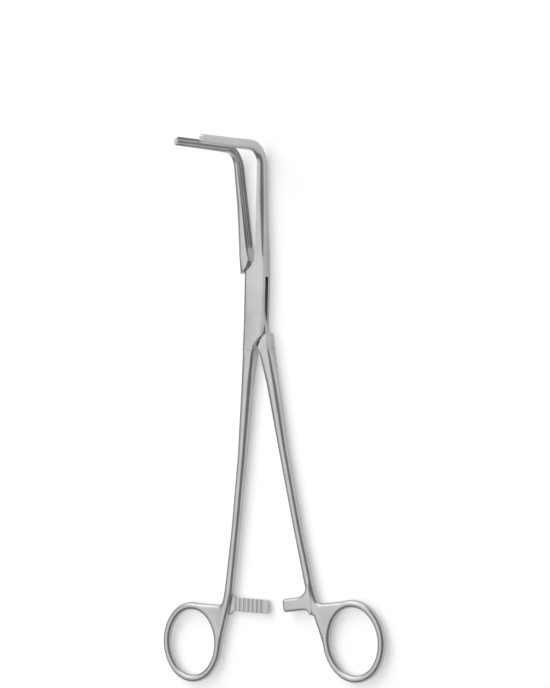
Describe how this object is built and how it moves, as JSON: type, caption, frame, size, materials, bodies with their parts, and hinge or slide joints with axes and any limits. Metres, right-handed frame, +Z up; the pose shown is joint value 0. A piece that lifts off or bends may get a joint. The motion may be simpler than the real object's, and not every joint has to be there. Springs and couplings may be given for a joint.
{
  "type": "bronchus clamp",
  "caption": "Ring-handled surgical clamp with a box lock, a ratchet and long jaws bent at a right angle, with fine cross teeth and lengthwise ridges on the gripping faces.",
  "frame": {"origin": "where the pivot axis meets the back face of the box lock, on which the clamp lies", "axes": "+Z up along the pivot axis, the way the jaws point; +Y from the pivot towards the jaws; +X to the right seen from above"},
  "size_m": [0.1069, 0.22, 0.0444],
  "materials": {
    "satin_steel": "satin"
  },
  "bodies": {
    "box_body": {"box_half": "satin_steel", "pivot_pin": "satin_steel"},
    "plate_body": {"plate_half": "satin_steel"}
  },
  "joints": [
    {"name": "box_lock_pivot", "type": "hinge", "parent": "box_body", "child": "plate_body", "pos_m": [0, 0, 0], "axis": [0, 0, 1], "range_deg": [-9.2, 35.8]}
  ]
}
